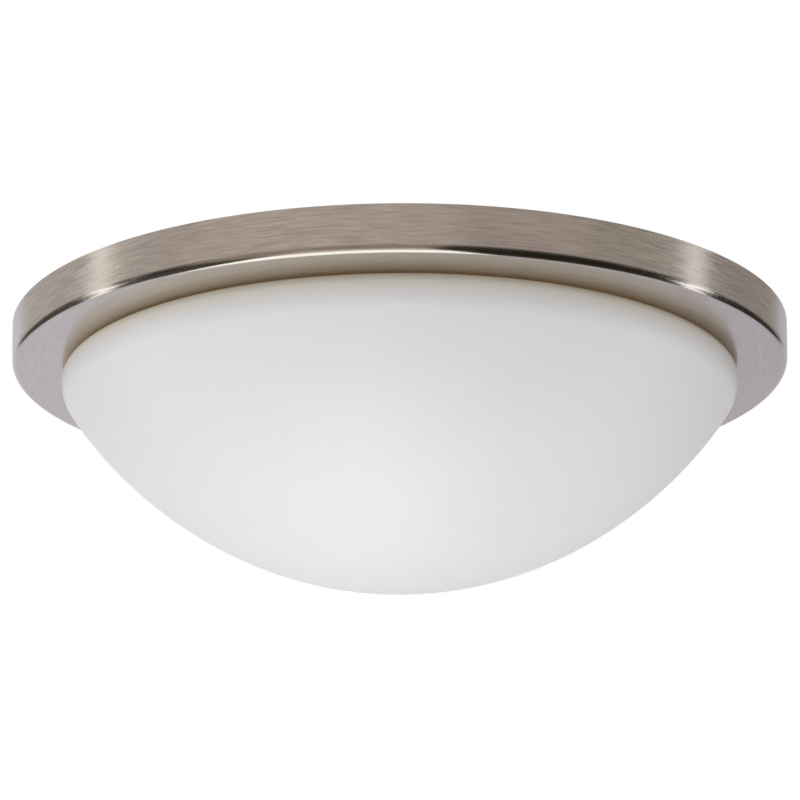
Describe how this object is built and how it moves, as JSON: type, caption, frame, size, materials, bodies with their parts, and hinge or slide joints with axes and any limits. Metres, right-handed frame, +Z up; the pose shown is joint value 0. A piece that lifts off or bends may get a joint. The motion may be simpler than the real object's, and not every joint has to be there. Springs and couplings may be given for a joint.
{
  "type": "flush mount ceiling light",
  "caption": "Round flush mount ceiling light: a brushed nickel ring-shaped pan and a domed opal glass that twists onto clips, with an LED board and driver inside.",
  "frame": {"origin": "centre of the pan's back edge, on the ceiling plane", "axes": "+Z up into the ceiling, along the light's centre line; -Y to the front; the ceiling strap runs along X"},
  "size_m": [0.3312, 0.3312, 0.1145],
  "materials": {
    "brushed_nickel": "brushed round the ring, satin",
    "zinc_plate": "zinc plated sheet",
    "zinc_screw": "zinc plated",
    "green_screw": "green dyed plating",
    "black_nylon": "moulded nylon",
    "spring_steel": "bare spring strip",
    "silicone": "translucent silicone",
    "rivet_metal": "bare aluminium",
    "white_board": "white solder mask on aluminium",
    "led_phosphor": "yellow phosphor in a white frame",
    "white_nylon": "moulded nylon",
    "black_lead": "insulated lead",
    "red_lead": "insulated lead",
    "white_plastic": "fine textured moulding",
    "green_board": "green solder mask",
    "yellow_tape": "tape wound",
    "capacitor_sleeve": "shrunk sleeve",
    "copper_winding": "enamelled wire",
    "opal_glass": "satin opal white"
  },
  "bodies": {
    "fixture": {"pan": "brushed_nickel", "mounting_crossbar": "zinc_plate", "pan_mounting_screws": "zinc_screw", "ground_screw": "green_screw", "wire_bushing": "black_nylon", "glass_clip_1": "spring_steel", "glass_clip_2": "spring_steel", "glass_clip_3": "spring_steel", "clip_pads": "silicone", "clip_rivets": "rivet_metal", "led_board": "white_board", "led_packages": "led_phosphor", "led_board_screws": "zinc_screw", "board_connector": "white_nylon", "led_lead_negative": "black_lead", "led_lead_positive": "red_lead", "driver_base": "zinc_plate", "driver_cover": "white_plastic", "driver_circuit_board": "green_board", "driver_transformer": "yellow_tape", "driver_capacitors": "capacitor_sleeve", "driver_inductor": "copper_winding", "driver_screws": "zinc_screw", "terminal_block": "white_nylon", "terminal_screws": "zinc_screw"},
    "shade": {"glass_diffuser": "opal_glass"}
  },
  "joints": [
    {"name": "glass_twist", "type": "hinge", "parent": "fixture", "child": "shade", "pos_m": [0, 0, 0], "axis": [0, 0, 1], "range_deg": [-30, 0]}
  ]
}
